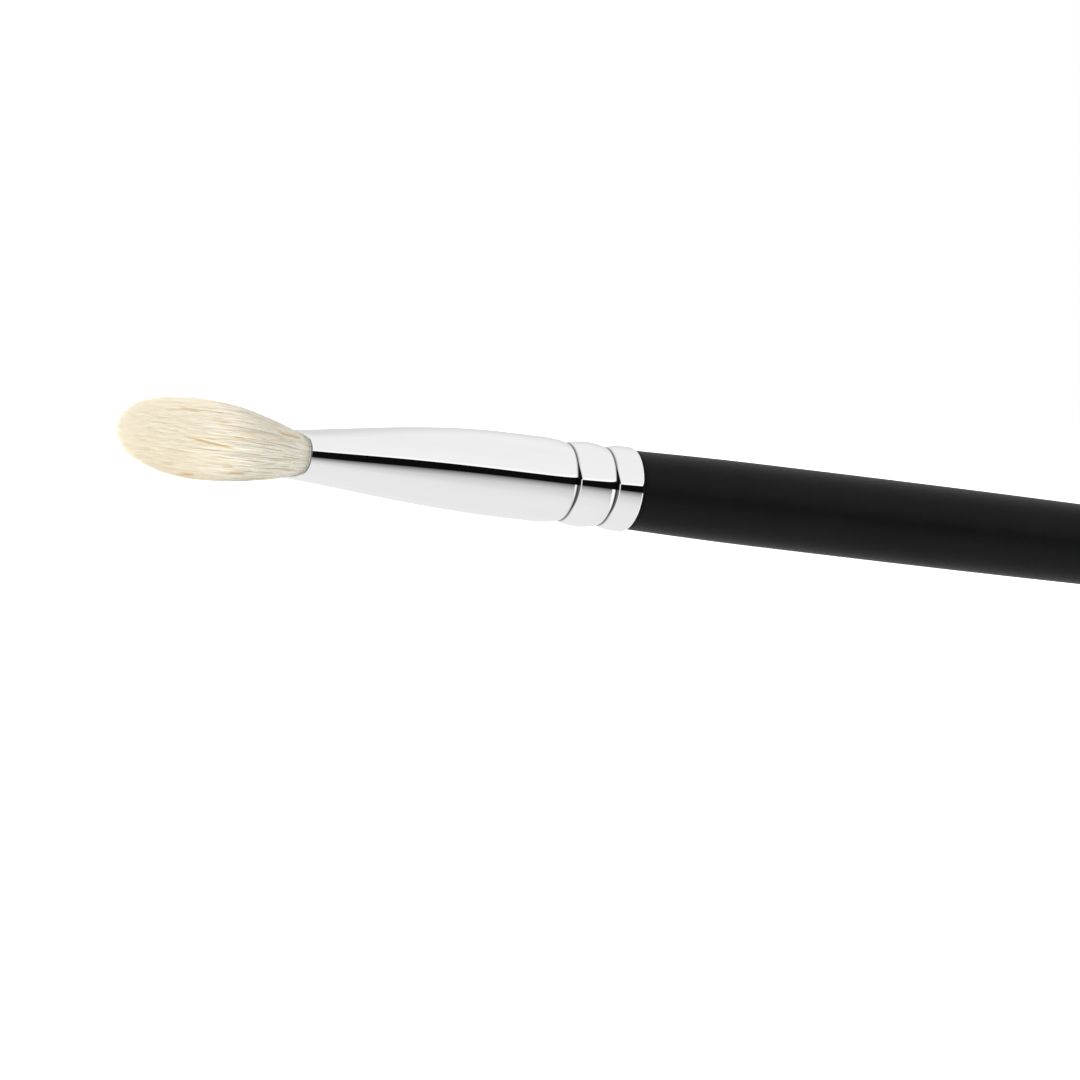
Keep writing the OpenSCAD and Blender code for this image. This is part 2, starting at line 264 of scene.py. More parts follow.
nickelLook = {
    "grainScale": 900.0, "grainDepth": 0.00000012, "grainStretch": (0.12, 1.0, 1.0),
    "dark": 0.955, "pale": 0.985, "paintedGrooveShadeColour": (0.11, 0.11, 0.112),
    "smoothest": 0.02, "roughest": 0.035,
}


def ferruleMaterial():
    material, tree, shader = openMaterial("polished_nickel")
    paintedGrooveShade = addNode(tree, "ShaderNodeAttribute", attribute_name="crimpDepth").outputs["Fac"]
    grain = grainNode(tree, nickelLook["grainScale"], nickelLook["grainDepth"], nickelLook["grainStretch"])
    shade = rangeNode(tree, grain["Shade"], *grainSpan, nickelLook["dark"], nickelLook["pale"])
    plate = addNode(tree, "ShaderNodeCombineColor", {"Red": shade, "Green": shade, "Blue": shade})
    # Painted shade: the metal's colour darkens towards the bottom of each crimp's groove
    colour = mixColours(tree, paintedGrooveShade, plate.outputs["Color"], nickelLook["paintedGrooveShadeColour"])
    plug(tree, colour, shader.inputs["Base Color"])
    rough = rangeNode(tree, grain["Shade"], *grainSpan, nickelLook["smoothest"], nickelLook["roughest"])
    plug(tree, rough, shader.inputs["Roughness"])
    plug(tree, grain["Normal"], shader.inputs["Normal"])
    setShader(shader, Metallic=1.0)
    return material


lacquerLook = {
    "grainScale": 3500.0, "grainDepth": 0.000004, "driftScale": 140.0,
    "dark": (0.0020, 0.0020, 0.0021), "pale": (0.0034, 0.0034, 0.0035),
    "smoothest": 0.36, "roughest": 0.5, "mirroring": 0.13,
}


def lacquerMaterial():
    material, tree, shader = openMaterial("black_satin_lacquer")
    grain = grainNode(tree, lacquerLook["grainScale"], lacquerLook["grainDepth"])
    drift = grainNode(tree, lacquerLook["driftScale"], 0.0)
    low, high = grainSpan
    colour = rampNode(tree, drift["Shade"], [(low, lacquerLook["dark"]), (high, lacquerLook["pale"])])
    plug(tree, colour, shader.inputs["Base Color"])
    rough = rangeNode(tree, grain["Shade"], *grainSpan, lacquerLook["smoothest"], lacquerLook["roughest"])
    plug(tree, rough, shader.inputs["Roughness"])
    plug(tree, grain["Normal"], shader.inputs["Normal"])
    setShader(shader, Specular_IOR_Level=lacquerLook["mirroring"])
    return material


# Plain finishes: grain, its darkest and palest colour, and how rough and how mirroring they are
plainLooks = {
    "undyed_thread": {
        "grain": (5000.0, 0.00002, (1.0, 0.25, 0.25)), "span": (0.3, 0.7),
        "dark": (0.55, 0.50, 0.40), "pale": (0.80, 0.76, 0.66), "rough": 0.85, "mirroring": 0.2},
    "set_amber_glue": {
        "grain": (700.0, 0.00003), "span": (0.3, 0.7),
        "dark": (0.52, 0.36, 0.14), "pale": (0.70, 0.55, 0.28), "rough": (0.25, 0.5), "mirroring": 0.5},
    "turned_hardwood": {
        "grain": (1400.0, 0.00001, (0.06, 1.0, 1.0)), "span": (0.32, 0.68),
        "dark": (0.36, 0.22, 0.12), "pale": (0.66, 0.48, 0.30), "rough": 0.62, "mirroring": 0.3},
}


def plainMaterial(name):
    look = plainLooks[name]
    material, tree, shader = openMaterial(name)
    grain = grainNode(tree, *look["grain"])
    low, high = look["span"]
    colour = rampNode(tree, grain["Shade"], [(low, look["dark"]), (high, look["pale"])])
    plug(tree, colour, shader.inputs["Base Color"])
    rough = look["rough"]
    if isinstance(rough, tuple):
        rough = rangeNode(tree, grain["Shade"], *look["span"], *rough)
    plug(tree, rough, shader.inputs["Roughness"])
    plug(tree, grain["Normal"], shader.inputs["Normal"])
    setShader(shader, Specular_IOR_Level=look["mirroring"])
    return material


finishes = {
    "hair": hairMaterial(),
    "ferrule_metal": ferruleMaterial(),
    "handle_lacquer": lacquerMaterial(),
    "thread": plainMaterial("undyed_thread"),
    "glue": plainMaterial("set_amber_glue"),
    "handle_wood": plainMaterial("turned_hardwood"),
}
carriedNodes = {
    "root_binding": "thread", "glue_plug": "glue", "tenon_glue": "glue", "handle_core": "handle_wood",
}
for name, slot in carriedNodes.items():
    frame["nodes"][name].data.materials.clear()
    frame["nodes"][name].data.materials.append(finishes[slot])
print("finishes made:", len(finishes))


def addPiece(name, mesh, node):
    piece = bpy.data.objects.new(name, mesh)
    bpy.context.scene.collection.objects.link(piece)
    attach(piece, "root")
    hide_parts(node)
    return piece


# Ferrule: a round tube pinched to an oval mouth, with two crimps and a rounded rear edge

ferrule = {
    "wall": 0.35, "fitGap": 0.04,
    "pinchLength": 22.0, "pinchShare": 0.73, "mouthThickness": 4.6, "mouthDrop": 0.5, "mouthLean": 0.2,
    "squareShare": 0.7, "lipRound": 0.22,
    "crimpInset": 2.85, "crimpPitch": 4.0, "crimpDepth": 0.34, "crimpLead": 2.6, "crimpArcShare": 0.85,
    "endRound": 0.35,
    "paintedGrooveShadeWidth": 0.13,                       # half-width of the shade painted into the bottom of a crimp
    "sides": 240, "lipSteps": 8, "pinchSteps": 64, "crimpSteps": 22, "endSteps": 12,
}
crimpRear = ferruleLength - ferrule["crimpInset"]
crimpFront = crimpRear - ferrule["crimpPitch"]


def pinch(s):
    return ease(clamp(s / ferrule["pinchLength"]) ** ferrule["pinchShare"])


def tubeHalfHeight(s):
    narrow = ferrule["mouthThickness"] / 2
    return narrow + (tubeRadius - narrow) * pinch(s)


def tubeHalfWidth(s):
    return math.sqrt(2 * tubeRadius ** 2 - tubeHalfHeight(s) ** 2)    # keeps the tube's girth


def tubeRing(s, inset=0.0):
    # A ring is place, half-height, half-width, drop of its middle, lift of its widest place and squareness
    pinched = 1 - pinch(s)
    drop, lean = ferrule["mouthDrop"] * pinched, ferrule["mouthLean"] * pinched
    power = 2 + ferrule["squareShare"] * pinched
    return (s, tubeHalfHeight(s) - inset, tubeHalfWidth(s) - inset, drop, lean, power)


def arcFall(t):
    share = ferrule["crimpArcShare"]
    return (1 - math.sqrt(1 - (share * clamp(t)) ** 2)) / (1 - math.sqrt(1 - share ** 2))


def crimpedRadius(s):
    pitch = ferrule["crimpPitch"]
    if s < crimpFront:
        reach = (s - crimpFront + ferrule["crimpLead"]) / ferrule["crimpLead"]
    elif s < crimpRear:
        reach = abs(2 * (s - crimpFront) / pitch - 1)
    else:
        reach = 1 - (s - crimpRear) / (pitch / 2)
    return tubeRadius - ferrule["crimpDepth"] * arcFall(reach)


def roundRing(s, radius):
    return (s, radius, radius, 0.0, 0.0, 2.0)


def ringPoints(ring, sides):
    s, halfHeight, halfWidth, drop, lean, power = ring
    points = []
    for i in range(sides):
        turn = 2 * math.pi * i / sides
        side, up = math.cos(turn), math.sin(turn)
        wide = (abs(side) ** power + abs(up) ** power) ** (-1 / power)
        y = halfWidth * wide * side
        z = axisHeight - drop + halfHeight * wide * up + lean * (wide * side) ** 2
        points.append(Vector((mouthX + s, y, z)) * mm)
    return points


def crimpPlaces(steps):
    # Close together where the tube bends down into a crimp
    lead, pitch = ferrule["crimpLead"], ferrule["crimpPitch"]
    down = [math.sin(math.pi / 2 * i / steps) for i in range(steps + 1)]
    across = [(1 - math.cos(math.pi * i / (2 * steps))) / 2 for i in range(1, 2 * steps + 1)]
    return ([crimpFront - lead + lead * t for t in down]
            + [crimpFront + pitch * t for t in across]
            + [crimpRear + pitch * t for t in across[:steps]])


def ferruleRings():
    wall, lip, end = ferrule["wall"], ferrule["lipRound"], ferrule["endRound"]
    lipSteps, endSteps = ferrule["lipSteps"], ferrule["endSteps"]
    quarter = [math.pi / 2 * i / lipSteps for i in range(lipSteps + 1)]
    inner = wall - lip
    rings = [tubeRing(inner * (1 - math.sin(t)), wall - inner * (1 - math.cos(t))) for t in quarter]
    rings += [tubeRing(lip * (1 - math.cos(t)), lip * (1 - math.sin(t))) for t in quarter[1:]]
    reach = ferrule["pinchLength"] - lip
    steps = ferrule["pinchSteps"]
    rings += [tubeRing(lip + reach * i / steps) for i in range(1, steps + 1)]
    rings += [roundRing(s, crimpedRadius(s)) for s in crimpPlaces(ferrule["crimpSteps"])]
    endStart = ferruleLength - end
    rings.append(roundRing(endStart, tubeRadius))
    for i in range(1, endSteps + 1):
        turn = math.pi / 2 * i / endSteps
        rings.append(roundRing(endStart + end * math.sin(turn), tubeRadius - wall * (1 - math.cos(turn))))
    inside = [roundRing(s, crimpedRadius(s) - wall) for s in crimpPlaces(ferrule["lipSteps"])]
    rings += inside[::-1]
    insideSteps = steps // 2
    rings += [tubeRing(ferrule["pinchLength"] * i / insideSteps, wall) for i in range(insideSteps, 0, -1)]
    return rings


def meshFromRings(name, rings, sides, closed):
    # Quads between neighbouring rings; an open row gets flat ends
    points = [point for ring in rings for point in ringPoints(ring, sides)]
    count = len(rings)
    faces = []
    for k in range(count if closed else count - 1):
        near, far = k * sides, (k + 1) % count * sides
        for i in range(sides):
            j = (i + 1) % sides
            faces.append((near + i, far + i, far + j, near + j))
    if not closed:
        faces.append(tuple(range(sides)))
        faces.append(tuple((count - 1) * sides + i for i in reversed(range(sides))))
    mesh = bpy.data.meshes.new(name)
    mesh.from_pydata(points, [], faces)
    mesh.shade_smooth()
    return mesh


def makeFerrule():
    rings = ferruleRings()
    mesh = meshFromRings("ferrule_tube", rings, ferrule["sides"], closed=True)
    mesh.flip_normals()
    # Mask of painted shade, strongest at the bottom of each crimp's groove
    paintedGrooveShade = mesh.attributes.new("crimpDepth", "FLOAT", "POINT")
    for k, ring in enumerate(rings):
        away = min(abs(ring[0] - crimpFront), abs(ring[0] - crimpRear)) / ferrule["paintedGrooveShadeWidth"]
        for i in range(ferrule["sides"]):
            paintedGrooveShade.data[k * ferrule["sides"] + i].value = math.exp(-away ** 2)
    mesh.materials.append(finishes["ferrule_metal"])
    return addPiece("ferrule_tube", mesh, "ferrule")


makeFerrule()
print("ferrule made")


# Geometry trees: named inputs, then one object each, turned into a plain mesh

def openTree(name, inputs):
    tree = bpy.data.node_groups.new(name, "GeometryNodeTree")
    for label, value in inputs.items():
        kind = {int: "NodeSocketInt", float: "NodeSocketFloat"}.get(type(value), "NodeSocketMaterial")
        socket = tree.interface.new_socket(label, in_out="INPUT", socket_type=kind)
        if kind != "NodeSocketMaterial":
            socket.default_value = value
    tree.interface.new_socket("Geometry", in_out="OUTPUT", socket_type="NodeSocketGeometry")
    return tree, tree.nodes.new("NodeGroupInput").outputs


def closeTree(tree, geometry, material):
    whole = addNode(tree, "GeometryNodeRealizeInstances", {"Geometry": geometry})
    dressed = addNode(tree, "GeometryNodeSetMaterial", {"Geometry": whole.outputs[0], "Material": material})
    out = tree.nodes.new("NodeGroupOutput")
    tree.links.new(dressed.outputs[0], out.inputs[0])


def growMesh(name, tree, inputs):
    grower = bpy.data.objects.new(name + "_grower", bpy.data.meshes.new(name + "_start"))
    bpy.context.scene.collection.objects.link(grower)
    modifier = grower.modifiers.new("grow", "NODES")
    modifier.node_group = tree
    for item in tree.interface.items_tree:
        if item.in_out == "INPUT" and item.name in inputs:
            modifier[item.identifier] = inputs[item.name]
    evaluated = grower.evaluated_get(bpy.context.evaluated_depsgraph_get())
    mesh = bpy.data.meshes.new_from_object(evaluated)
    mesh.name = name
    bpy.data.objects.remove(grower)
    return mesh


# Handle: the lacquer over a turned handle, with its neck inside the ferrule and a rounded tail

handle = {
    "Neck Radius": tubeRadius - ferrule["wall"] - ferrule["fitGap"], "Neck Inset": 1.2,
    "Shoulder Radius": 3.725, "Shoulder Length": 0.3, "Belly Radius": 3.9, "Belly At": 14.0,
    "Tail Radius": 2.3, "Tail Round": 2.2, "Taper Share": 1.5,
    "Length": handleLength, "Start X": mouthX + ferruleLength, "Axis Z": axisHeight,
    "Rings": 260, "Sides": 160,
    "Lacquer": finishes["handle_lacquer"],
}
lacquerThickness = 0.15
tailShare = 0.12                                # share of the rings that lie on the rounded tail
ringCrowding = 1.8                              # over 1: rings close together round the shoulder


def handleTree():
    tree, ins = openTree("turned_handle", handle)

    def by(operation, *values):
        return calc(tree, operation, *values)

    line = addNode(tree, "GeometryNodeCurvePrimitiveLine", {"End": (1.0, 0.0, 0.0)})
    rings = addNode(tree, "GeometryNodeResampleCurve", {"Curve": line.outputs[0], "Count": ins["Rings"]})
    index = tree.nodes.new("GeometryNodeInputIndex").outputs[0]
    share = by("DIVIDE", index, by("SUBTRACT", ins["Rings"], 1))
    body = calc(tree, "DIVIDE", share, 1 - tailShare, limit=True)
    tail = calc(tree, "DIVIDE", by("SUBTRACT", share, 1 - tailShare), tailShare, limit=True)
    turn = by("MULTIPLY", tail, math.pi / 2)
    bodyLength = by("SUBTRACT", ins["Length"], ins["Tail Round"])
    neck = ins["Neck Inset"]
    front = by("POWER", body, ringCrowding)
    place = by("SUBTRACT", by("MULTIPLY", front, by("ADD", bodyLength, neck)), neck)
    toBelly = calc(tree, "DIVIDE", place, ins["Belly At"], limit=True)
    swell = by("SINE", by("MULTIPLY", toBelly, math.pi / 2))
    pastBelly = calc(tree, "DIVIDE", by("SUBTRACT", place, ins["Belly At"]),
                     by("SUBTRACT", ins["Length"], ins["Belly At"]), limit=True)
    taper = easeNodes(tree, by("POWER", pastBelly, ins["Taper Share"]))
    radius = by("MULTIPLY", swell, by("SUBTRACT", ins["Belly Radius"], ins["Shoulder Radius"]))
    pastGap = by("SUBTRACT", place, ferrule["fitGap"])
    shoulder = calc(tree, "DIVIDE", pastGap, ins["Shoulder Length"], limit=True)
    step = by("MULTIPLY", shoulder, by("SUBTRACT", ins["Shoulder Radius"], ins["Neck Radius"]))
    radius = by("ADD", by("ADD", ins["Neck Radius"], step), radius)
    thinning = by("MULTIPLY", taper, by("SUBTRACT", ins["Tail Radius"], ins["Belly Radius"]))
    radius = by("ADD", radius, thinning)
    radius = by("MULTIPLY", radius, by("COSINE", turn))
    x = by("ADD", by("ADD", ins["Start X"], place), by("MULTIPLY", by("SINE", turn), ins["Tail Round"]))
    axisZ = by("MULTIPLY", ins["Axis Z"], mm)
    spot = addNode(tree, "ShaderNodeCombineXYZ", {"X": by("MULTIPLY", x, mm), "Z": axisZ}).outputs[0]
    placed = addNode(tree, "GeometryNodeSetPosition", {"Geometry": rings.outputs[0], "Position": spot})
    circle = addNode(tree, "GeometryNodeCurvePrimitiveCircle", {"Resolution": ins["Sides"], "Radius": 1.0})
    skin = addNode(tree, "GeometryNodeCurveToMesh", {
        "Curve": placed.outputs[0], "Profile Curve": circle.outputs[0], "Scale": by("MULTIPLY", radius, mm)})
    sealed = addNode(tree, "GeometryNodeMergeByDistance", {"Geometry": skin.outputs[0], "Distance": mm * mm})
    smooth = addNode(tree, "GeometryNodeSetShadeSmooth", {"Geometry": sealed.outputs[0]})
    closeTree(tree, smooth.outputs[0], ins["Lacquer"])
    return tree


def makeHandle():
    mesh = growMesh("handle_lacquer_coat", handleTree(), handle)
    piece = addPiece("handle_lacquer_coat", mesh, "handle_lacquer")
    coat = piece.modifiers.new("lacquer", "SOLIDIFY")
    coat.thickness = lacquerThickness * mm
    coat.offset = -1.0
    return piece


makeHandle()
print("handle made")


# Hair: thousands of fine strands that flare out of the oval mouth and end on a soft dome

tuft = {
    "Mouth X": mouthX, "Axis Z": axisHeight,
    "Mouth Half Height": tubeHalfHeight(0) - ferrule["wall"] - ferrule["fitGap"],
    "Mouth Half Width": tubeHalfWidth(0) - ferrule["wall"] - ferrule["fitGap"],
    "Mouth Drop": ferrule["mouthDrop"], "Mouth Lean": ferrule["mouthLean"],
    "Square Share": ferrule["squareShare"],
    "Free Length": hairLength, "Held Length": 1.3,
    "Belly Out": 9.4, "Belly Half Height": 3.75, "Belly Half Width": 6.2, "Belly Drop": 0.1,
    "Tip Rise": 0.15,
    "Flare Share": 0.78, "Dome Length Share": 2.08, "Dome Width Share": 2.5,
    "Hairs": 1000, "Segments": 8, "Seed": 1,
    "Inner Share": 0.0, "Outer Share": 1.0,
    "Thickness": 0.082, "Uneven Ends": 0.8, "Stray": 0.12, "Clumping": 0.04, "Wave": 0.075,
    "Hair": finishes["hair"],
}
goldenTurn = math.radians(137.508)
fullTurn = 6.283
rootShake = 0.2                                 # radians either side of the even spiral
endBias = 0.45                                  # more hairs end short than long
looseGrowth = 1.4                               # how late along a hair it comes loose from its neighbours
lockScale, lockStretch = 7.0, 0.05              # fineness of the locks, across and along the hair
waveStart, waveRate = 2.0, 1.2                  # mm from the mouth to the full wave, and radians per mm
tipThinning, thinningGrowth = 0.85, 6.0         # share of the thickness lost at the tip, and how late


def hairTree():
    tree, ins = openTree("hair_strands", tuft)

    def by(operation, *values):
        return calc(tree, operation, *values)

    def chance(low, high, salt, index):
        seed = by("ADD", by("MULTIPLY", ins["Seed"], 31.0), salt)
        inputs = {"Min": low, "Max": high, "ID": index, "Seed": seed}
        node = tree.nodes.new("FunctionNodeRandomValue")
        node.data_type = "FLOAT"
        for key, value in inputs.items():
            plug(tree, value, next(s for s in node.inputs if s.name == key and s.enabled))
        return next(s for s in node.outputs if s.enabled)

    def keep(geometry, name, value):
        inputs = {"Geometry": geometry, "Name": name, "Value": value}
        return addNode(tree, "GeometryNodeStoreNamedAttribute", inputs, data_type="FLOAT").outputs[0]

    def kept(name):
        return addNode(tree, "GeometryNodeInputNamedAttribute", {"Name": name}, data_type="FLOAT").outputs[0]

    # Where each hair stands: an even spiral, shaken a little
    index = tree.nodes.new("GeometryNodeInputIndex").outputs[0]
    inner, outer = ins["Inner Share"], ins["Outer Share"]
    step = by("DIVIDE", by("ADD", index, chance(0.0, 1.0, 1, index)), ins["Hairs"])
    spread = by("SUBTRACT", by("MULTIPLY", outer, outer), by("MULTIPLY", inner, inner))
    rho = by("SQRT", by("ADD", by("MULTIPLY", inner, inner), by("MULTIPLY", spread, step)))
    turn = by("ADD", by("MULTIPLY", index, goldenTurn), chance(-rootShake, rootShake, 2, index))
    roots = addNode(tree, "GeometryNodePoints", {"Count": ins["Hairs"]}).outputs[0]
    for name, value in (("rho", rho), ("turn", turn), ("hairTint", chance(0.0, 1.0, 3, index)),
                        ("endShift", chance(-1.0, 1.0, 4, index)), ("strayY", chance(-1.0, 1.0, 5, index)),
                        ("strayZ", chance(-1.0, 1.0, 6, index)), ("phase", chance(0.0, fullTurn, 7, index))):
        roots = keep(roots, name, value)

    # One straight hair on every root
    line = addNode(tree, "GeometryNodeCurvePrimitiveLine", {"End": (1.0, 0.0, 0.0)})
    count = by("ADD", ins["Segments"], 1)
    single = addNode(tree, "GeometryNodeResampleCurve", {"Curve": line.outputs[0], "Count": count})
    parameter = tree.nodes.new("GeometryNodeSplineParameter").outputs["Factor"]
    single = keep(single.outputs[0], "alongHair", parameter)
    stood = addNode(tree, "GeometryNodeInstanceOnPoints", {"Points": roots, "Instance": single})
    hairs = addNode(tree, "GeometryNodeRealizeInstances", {"Geometry": stood.outputs[0]}).outputs[0]

    # How far out of the mouth each point is, up to the dome
    rho, turn, along = kept("rho"), kept("turn"), kept("alongHair")
    tipLength = by("SUBTRACT", ins["Free Length"], ins["Belly Out"])
    fall = by("SUBTRACT", 1.0, by("POWER", rho, ins["Dome Width Share"]))
    domeEnd = by("ADD", ins["Belly Out"],
                 by("MULTIPLY", tipLength, by("POWER", fall, by("DIVIDE", 1.0, ins["Dome Length Share"]))))
    uneven = by("MULTIPLY", ins["Uneven Ends"], by("SUBTRACT", kept("endShift"), endBias))
    reach = by("ADD", by("ADD", domeEnd, uneven), ins["Held Length"])
    out = by("SUBTRACT", by("MULTIPLY", along, reach), ins["Held Length"])
    free = by("MAXIMUM", out, 0.0)

    # Half-height, half-width and drop of the tuft at that place
    toBelly = calc(tree, "DIVIDE", free, ins["Belly Out"], limit=True)
    flare = by("POWER", by("SINE", by("MULTIPLY", toBelly, math.pi / 2)), ins["Flare Share"])
    pastBelly = calc(tree, "DIVIDE", by("SUBTRACT", free, ins["Belly Out"]), tipLength, limit=True)

    def between(first, second, share):
        return by("ADD", first, by("MULTIPLY", share, by("SUBTRACT", second, first)))

    halfHeight = between(ins["Mouth Half Height"], ins["Belly Half Height"], flare)
    halfWidth = between(ins["Mouth Half Width"], ins["Belly Half Width"], flare)
    drop = between(ins["Mouth Drop"], ins["Belly Drop"], flare)
    tipShift = by("ADD", ins["Belly Drop"], ins["Tip Rise"])
    drop = by("SUBTRACT", drop, by("MULTIPLY", tipShift, easeNodes(tree, pastBelly)))
    power = by("ADD", 2.0, by("MULTIPLY", ins["Square Share"], by("SUBTRACT", 1.0, flare)))
    side, up = by("COSINE", turn), by("SINE", turn)
    sidePart, upPart = (by("POWER", by("ABSOLUTE", part), power) for part in (side, up))
    squared = by("ADD", sidePart, upPart)
    wide = by("MULTIPLY", rho, by("POWER", squared, by("DIVIDE", -1.0, power)))

    # Strays, tufts that draw together, and a slight wave
    loose = by("POWER", by("DIVIDE", free, ins["Free Length"]), looseGrowth)
    lock = addNode(tree, "ShaderNodeCombineXYZ", {
        "X": by("MULTIPLY", free, lockStretch),
        "Y": by("MULTIPLY", rho, side),
        "Z": by("MULTIPLY", rho, up)})
    pull = noiseNode(tree, lock.outputs[0], lockScale, detail=1.0)
    pulled = addNode(tree, "ShaderNodeSeparateXYZ", {"Vector": pull.outputs["Color"]})
    clumping = by("MULTIPLY", by("MULTIPLY", ins["Clumping"], 2.0), loose)
    started = calc(tree, "DIVIDE", free, waveStart, limit=True)
    waving = by("MULTIPLY", ins["Wave"], by("MULTIPLY", started, by("SUBTRACT", 1.0, along)))
    sway = by("ADD", kept("phase"), by("MULTIPLY", free, waveRate))

    def shifted(base, strayName, noiseValue, swing):
        strayed = by("MULTIPLY", by("MULTIPLY", kept(strayName), ins["Stray"]), loose)
        drawn = by("MULTIPLY", by("SUBTRACT", noiseValue, 0.5), clumping)
        return by("ADD", by("ADD", base, strayed), by("ADD", drawn, by("MULTIPLY", waving, swing)))

    baseY = by("MULTIPLY", by("MULTIPLY", halfWidth, wide), side)
    baseZ = by("MULTIPLY", by("MULTIPLY", halfHeight, wide), up)
    y = shifted(baseY, "strayY", pulled.outputs["Y"], by("SINE", sway))
    z = shifted(baseZ, "strayZ", pulled.outputs["Z"], by("COSINE", sway))
    lean = by("MULTIPLY", ins["Mouth Lean"], by("SUBTRACT", 1.0, flare))
    z = by("ADD", z, by("MULTIPLY", lean, by("POWER", by("MULTIPLY", wide, side), 2.0)))
    spot = addNode(tree, "ShaderNodeCombineXYZ", {
        "X": by("MULTIPLY", by("SUBTRACT", ins["Mouth X"], out), mm),
        "Y": by("MULTIPLY", y, mm),
        "Z": by("MULTIPLY", by("ADD", by("SUBTRACT", ins["Axis Z"], drop), z), mm)})
    placed = addNode(tree, "GeometryNodeSetPosition", {"Geometry": hairs, "Position": spot.outputs[0]})

    # Three-sided strands that thin out to a natural tip
    thin = by("SUBTRACT", 1.0, by("MULTIPLY", tipThinning, by("POWER", along, thinningGrowth)))
    radius = by("MULTIPLY", by("MULTIPLY", ins["Thickness"], thin), mm / 2)
    section = addNode(tree, "GeometryNodeCurvePrimitiveCircle", {"Resolution": 3, "Radius": 1.0})
    strands = addNode(tree, "GeometryNodeCurveToMesh", {
        "Curve": placed.outputs[0], "Profile Curve": section.outputs[0], "Scale": radius, "Fill Caps": True})
    smooth = addNode(tree, "GeometryNodeSetShadeSmooth", {"Geometry": strands.outputs[0]})
    closeTree(tree, smooth.outputs[0], ins["Hair"])
    return tree


hairGroups = {
    "hair_heart": {"Hairs": 3000, "Segments": 7, "Seed": 3, "Outer Share": 0.6, "Uneven Ends": 0.9},
    "hair_mantle": {"Hairs": 3500, "Segments": 8, "Seed": 5, "Inner Share": 0.6, "Outer Share": 0.86},
    "hair_coat_a": {"Hairs": 2100, "Segments": 13, "Seed": 8, "Inner Share": 0.86, "Thickness": 0.074},
    "hair_coat_b": {"Hairs": 2100, "Segments": 13, "Seed": 21, "Inner Share": 0.88, "Thickness": 0.07},
    "hair_strays": {"Hairs": 5200, "Segments": 5, "Seed": 13, "Thickness": 0.03, "Stray": 0.36,
                    "Uneven Ends": 2.2, "Wave": 0.0, "Free Length": hairLength + 0.5},
}


def makeHair():
    tree = hairTree()
    for name, changes in hairGroups.items():
        mesh = growMesh(name, tree, {**tuft, **changes})
        addPiece(name, mesh, "bristle_tuft")
        print(name, len(mesh.polygons), "faces")


makeHair()


# Packed root: the hair's glued end inside the ferrule, with a waist for its binding

root = {
    "front": 0.15, "rear": 12.0, "waistAt": 8.2, "waistLength": 2.08, "waistDepth": 0.44,
    "steps": 8, "sides": 120,
}


def makeRoot():
    inset = ferrule["wall"] + ferrule["fitGap"]
    waistEnd = root["waistAt"] + root["waistLength"]
    outline = [(root["front"], 0.0)]
    outline += [(root["waistAt"] * i / root["steps"], 0.0) for i in range(1, root["steps"] + 1)]
    outline += [(root["waistAt"], root["waistDepth"]), (waistEnd, root["waistDepth"]), (waistEnd, 0.0)]
    outline += [(root["rear"], 0.0)]
    rings = [tubeRing(s, inset + depth) for s, depth in outline]
    mesh = meshFromRings("hair_root", rings, root["sides"], closed=False)
    mesh.flip_normals()
    mesh.materials.append(finishes["hair"])
    return addPiece("hair_root", mesh, "bristle_tuft")


makeRoot()
print("hair made")


# Studio: a pale floor, a light room and the camera

studio = {
    "floorSize": 8.0, "floorDark": (0.84, 0.84, 0.84), "floorPale": (0.86, 0.86, 0.86), "floorGlow": 0.62,
    "floorGrain": 60.0,
    "lightBelow": 0.68, "lightAbove": 1.26, "lightAtHair": 0.54,
    "gapBottom": -0.05, "gapTop": 0.22,         # the dark gap that the metal mirrors as a black line
}


def makeFloor():
    half = studio["floorSize"] / 2
    mesh = bpy.data.meshes.new("studio_floor")
    corners = [(-half, -half, 0), (half, -half, 0), (half, half, 0), (-half, half, 0)]
    mesh.from_pydata(corners, [], [(0, 1, 2, 3)])
    material, tree, shader = openMaterial("pale_floor")
    grain = grainNode(tree, studio["floorGrain"], 0.0)
    colour = rampNode(tree, grain["Shade"], [(0.2, studio["floorDark"]), (0.8, studio["floorPale"])])
    plug(tree, colour, shader.inputs["Base Color"])
    setShader(shader, Roughness=0.9, Specular_IOR_Level=0.0, Emission_Strength=studio["floorGlow"],
              Emission_Color=(1.0, 1.0, 1.0))
    mesh.materials.append(material)
    floor = bpy.data.objects.new("studio_floor", mesh)
    bpy.context.scene.collection.objects.link(floor)
    floor.visible_glossy = False                # the metal mirrors the room instead


